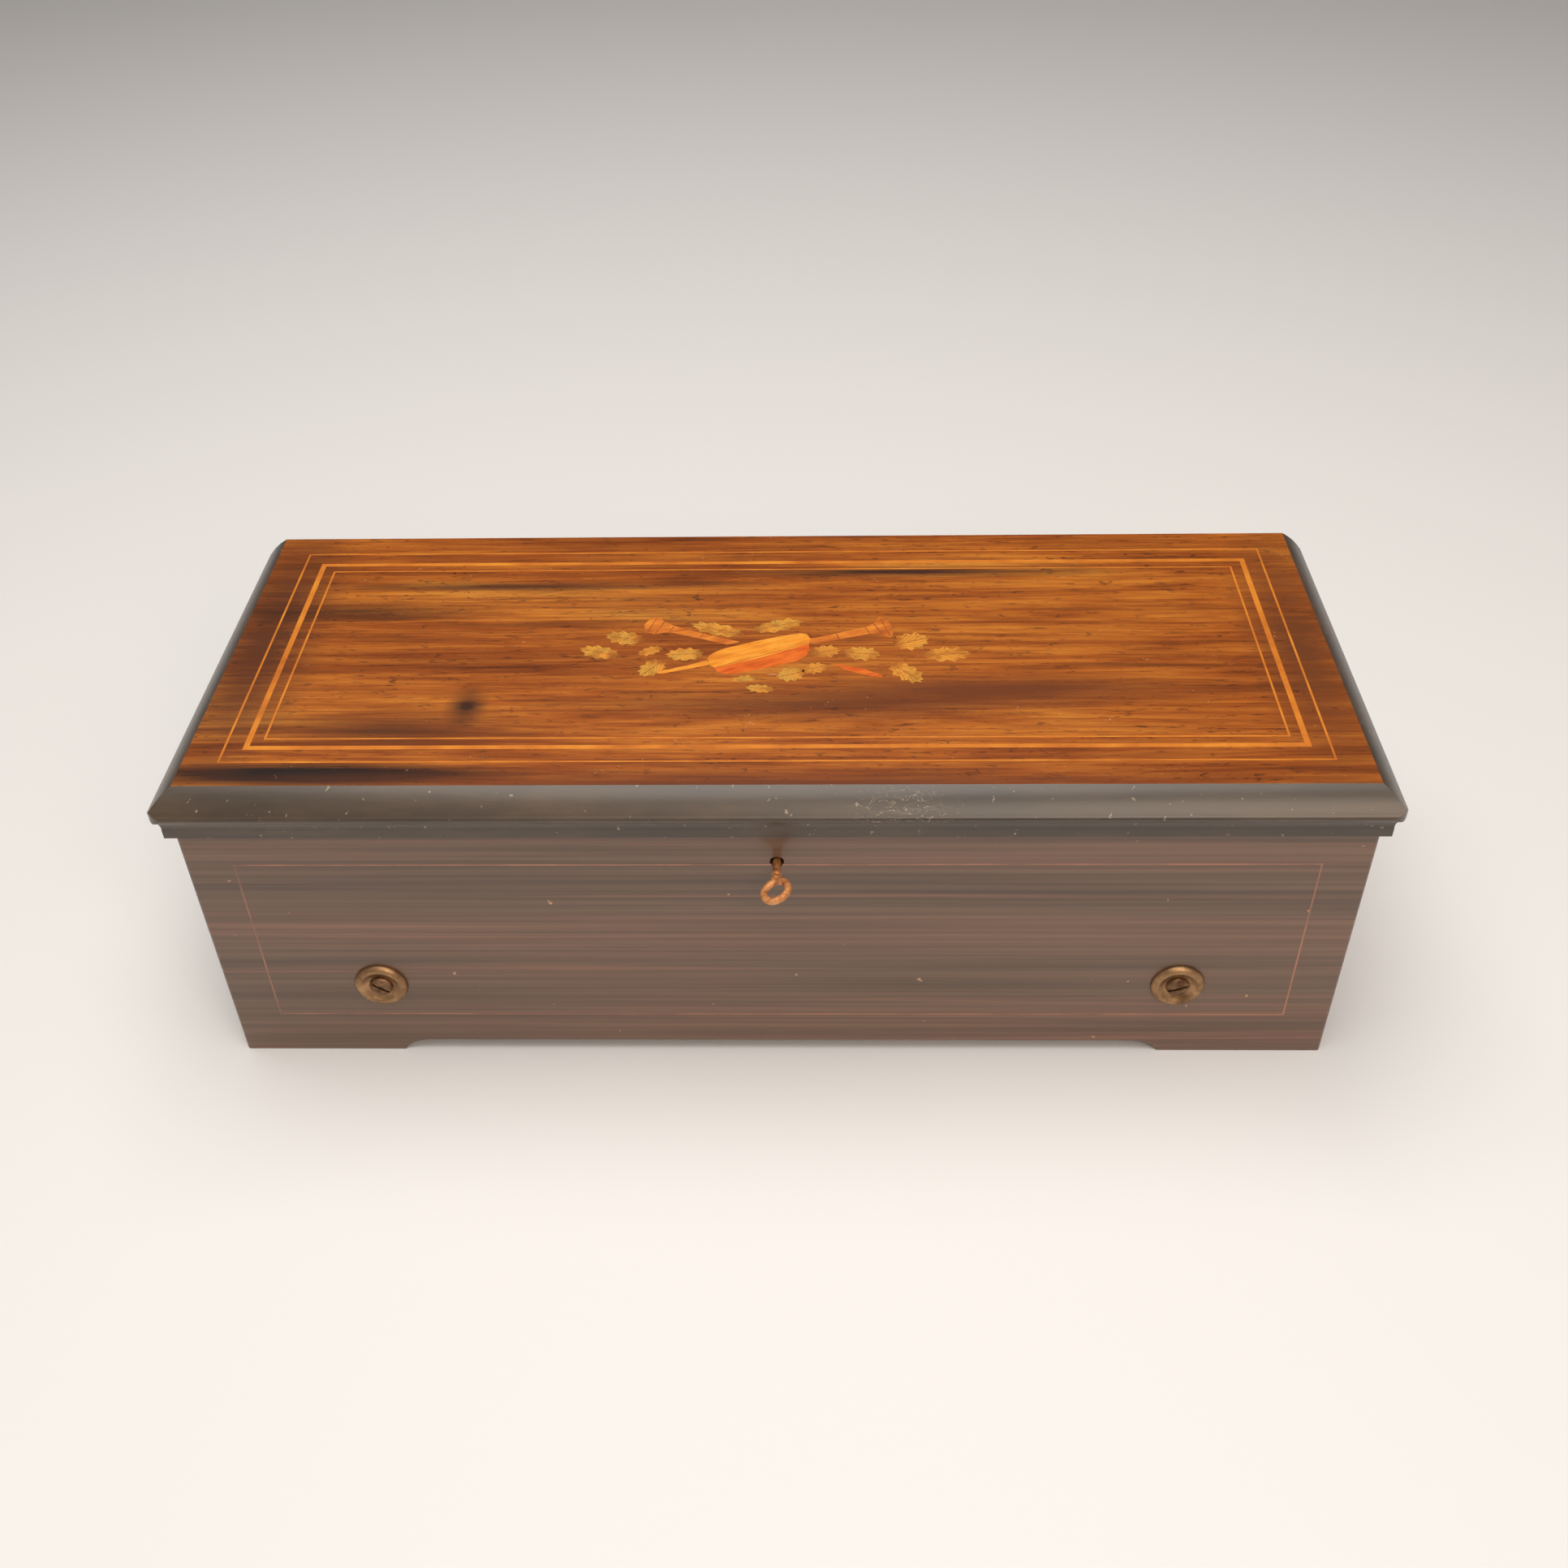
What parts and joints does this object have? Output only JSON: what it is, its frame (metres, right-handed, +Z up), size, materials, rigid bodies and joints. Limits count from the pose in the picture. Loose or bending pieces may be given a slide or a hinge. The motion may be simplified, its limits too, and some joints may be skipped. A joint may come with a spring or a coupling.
{
  "type": "music box",
  "caption": "Lever-wound cylinder music box: dark case, inlaid rosewood lid with black moulding, glass inner lid, pinned cylinder, steel comb, spring barrel and fan governor.",
  "frame": {"origin": "on the surface the box stands on, under the middle of its overall width and depth", "axes": "+X along the case to the right, the front with its key faces -Y, +Z up"},
  "size_m": [0.494, 0.2162, 0.152],
  "materials": {
    "grained_case": "dark grained and varnished",
    "plain_wood": "stained, matt",
    "ebonised_wood": "black, satin",
    "rosewood": "polished veneer",
    "boxwood_line": "polished inlay",
    "fruitwood_inlay": "polished, shaded inlay",
    "glass": "clear old window glass",
    "aged_brass": "dulled brass",
    "brass": "lacquered brass",
    "steel": "ground steel",
    "browned_steel": "brown with old rust",
    "cast_iron": "painted casting",
    "turned_wood": "turned, polished",
    "card": "aged blank card"
  },
  "bodies": {
    "case": {"case_front": "grained_case", "case_back": "grained_case", "case_left_end": "grained_case", "case_right_end": "grained_case", "base_board": "plain_wood", "lever_partition": "plain_wood", "control_partition": "plain_wood", "glass_lid_ledges": "plain_wood", "bedplate_blocks": "plain_wood", "cup_washers": "aged_brass", "movement_screws": "browned_steel", "hinge_case_leaves": "aged_brass", "hinge_pins": "steel", "lock_case": "steel", "lock_top_plate": "aged_brass", "bedplate": "cast_iron", "left_arbor_post": "brass", "right_arbor_post": "brass", "barrel_posts": "brass", "click_bracket": "steel", "comb": "steel", "comb_base": "cast_iron", "comb_screws": "steel", "governor_cage": "brass", "governor_cock": "brass", "control_studs": "steel"},
    "lid": {"lid_panel": "plain_wood", "rosewood_veneer": "rosewood", "line_inlay": "boxwood_line", "instrument_inlay": "fruitwood_inlay", "front_moulding": "ebonised_wood", "left_moulding": "ebonised_wood", "right_moulding": "ebonised_wood", "lid_back_rail": "plain_wood", "hinge_lid_leaves": "aged_brass", "link_plate": "aged_brass", "tune_card": "card"},
    "glass_lid": {"glass_lid_frame": "ebonised_wood", "glass_pane": "glass"},
    "key": {"key": "browned_steel"},
    "lock_bolt": {"lock_bolt": "steel"},
    "winding_lever": {"winding_lever": "steel", "lever_grip": "turned_wood"},
    "winding_arbor": {"winding_arbor": "steel", "ratchet_wheel": "steel"},
    "click": {"click": "steel"},
    "cylinder_arbor": {"cylinder_arbor": "steel", "great_wheel": "brass", "drive_wheel": "brass"},
    "cylinder": {"cylinder_drum": "brass", "cylinder_pins": "steel"},
    "tune_snail": {"tune_snail": "steel"},
    "spring_barrel": {"spring_barrel": "brass", "barrel_wheel": "brass"},
    "first_wheel": {"governor_first_wheel": "brass"},
    "second_wheel": {"governor_second_wheel": "brass"},
    "endless_screw": {"endless_screw": "steel", "governor_fan": "brass"},
    "stop_lever": {"start_stop_lever": "steel"},
    "change_lever": {"change_repeat_lever": "steel"}
  },
  "joints": [
    {"name": "lid_hinge", "type": "hinge", "parent": "case", "child": "lid", "pos_m": [0, 0.1055, 0.12985], "axis": [-1, 0, 0], "range_deg": [0, 104]},
    {"name": "glass_lid_hinge", "type": "hinge", "parent": "case", "child": "glass_lid", "pos_m": [0, 0.0849, 0.121], "axis": [-1, 0, 0], "range_deg": [0, 93.6]},
    {"name": "key_turn", "type": "hinge", "parent": "case", "child": "key", "pos_m": [0.0015, -0.0841, 0.114], "axis": [0, -1, 0], "range_deg": [0, 140]},
    {"name": "bolt_slide", "type": "slide", "parent": "case", "child": "lock_bolt", "axis": [-1, 0, 0], "range_m": [0, 0.005]},
    {"name": "winding_stroke", "type": "hinge", "parent": "case", "child": "winding_lever", "pos_m": [0, -0.02599, 0.083], "axis": [1, 0, 0], "range_deg": [0, 40]},
    {"name": "winding_arbor_turn", "type": "hinge", "parent": "case", "child": "winding_arbor", "pos_m": [0, -0.02599, 0.083], "axis": [1, 0, 0], "continuous": true},
    {"name": "click_lift", "type": "hinge", "parent": "case", "child": "click", "pos_m": [0, -0.00899, 0.064], "axis": [-1, 0, 0], "range_deg": [0, 12], "stiffness_Nm_per_rad": 0.01, "springref_deg": -5.73},
    {"name": "cylinder_spin", "type": "hinge", "parent": "case", "child": "cylinder_arbor", "pos_m": [0, 0.0159, 0.08], "axis": [1, 0, 0], "continuous": true},
    {"name": "drum_shift", "type": "slide", "parent": "cylinder_arbor", "child": "cylinder", "axis": [-1, 0, 0], "range_m": [0, 0.0021]},
    {"name": "tune_snail_turn", "type": "hinge", "parent": "cylinder_arbor", "child": "tune_snail", "pos_m": [0.123, 0.0159, 0.096], "axis": [1, 0, 0], "range_deg": [0, 315]},
    {"name": "barrel_spin", "type": "hinge", "parent": "case", "child": "spring_barrel", "pos_m": [0, -0.02599, 0.083], "axis": [1, 0, 0], "continuous": true},
    {"name": "first_wheel_spin", "type": "hinge", "parent": "case", "child": "first_wheel", "pos_m": [0, 0.04915, 0.08], "axis": [1, 0, 0], "continuous": true},
    {"name": "second_wheel_spin", "type": "hinge", "parent": "case", "child": "second_wheel", "pos_m": [0, 0.03192, 0.068], "axis": [1, 0, 0], "continuous": true},
    {"name": "endless_screw_spin", "type": "hinge", "parent": "case", "child": "endless_screw", "pos_m": [0.154, 0.01702, 0.048], "axis": [0, 0, 1], "continuous": true},
    {"name": "stop_lever_turn", "type": "hinge", "parent": "case", "child": "stop_lever", "pos_m": [0.164, -0.0441, 0.058], "axis": [0, 0, 1], "range_deg": [0, 12]},
    {"name": "change_lever_turn", "type": "hinge", "parent": "case", "child": "change_lever", "pos_m": [0.172, -0.0221, 0.064], "axis": [0, 0, 1], "range_deg": [0, 12]}
  ],
  "couplings": [
    {"joint": "glass_lid_hinge", "follows": "lid_hinge", "ratio": 0.9},
    {"joint": "key_turn", "follows": "bolt_slide", "rad_per_m": 488.69},
    {"joint": "tune_snail_turn", "follows": "drum_shift", "rad_per_m": 2617.9},
    {"joint": "barrel_spin", "follows": "cylinder_spin", "ratio": -0.33333},
    {"joint": "first_wheel_spin", "follows": "cylinder_spin", "ratio": -6},
    {"joint": "second_wheel_spin", "follows": "cylinder_spin", "ratio": 36},
    {"joint": "endless_screw_spin", "follows": "cylinder_spin", "ratio": 1440}
  ]
}
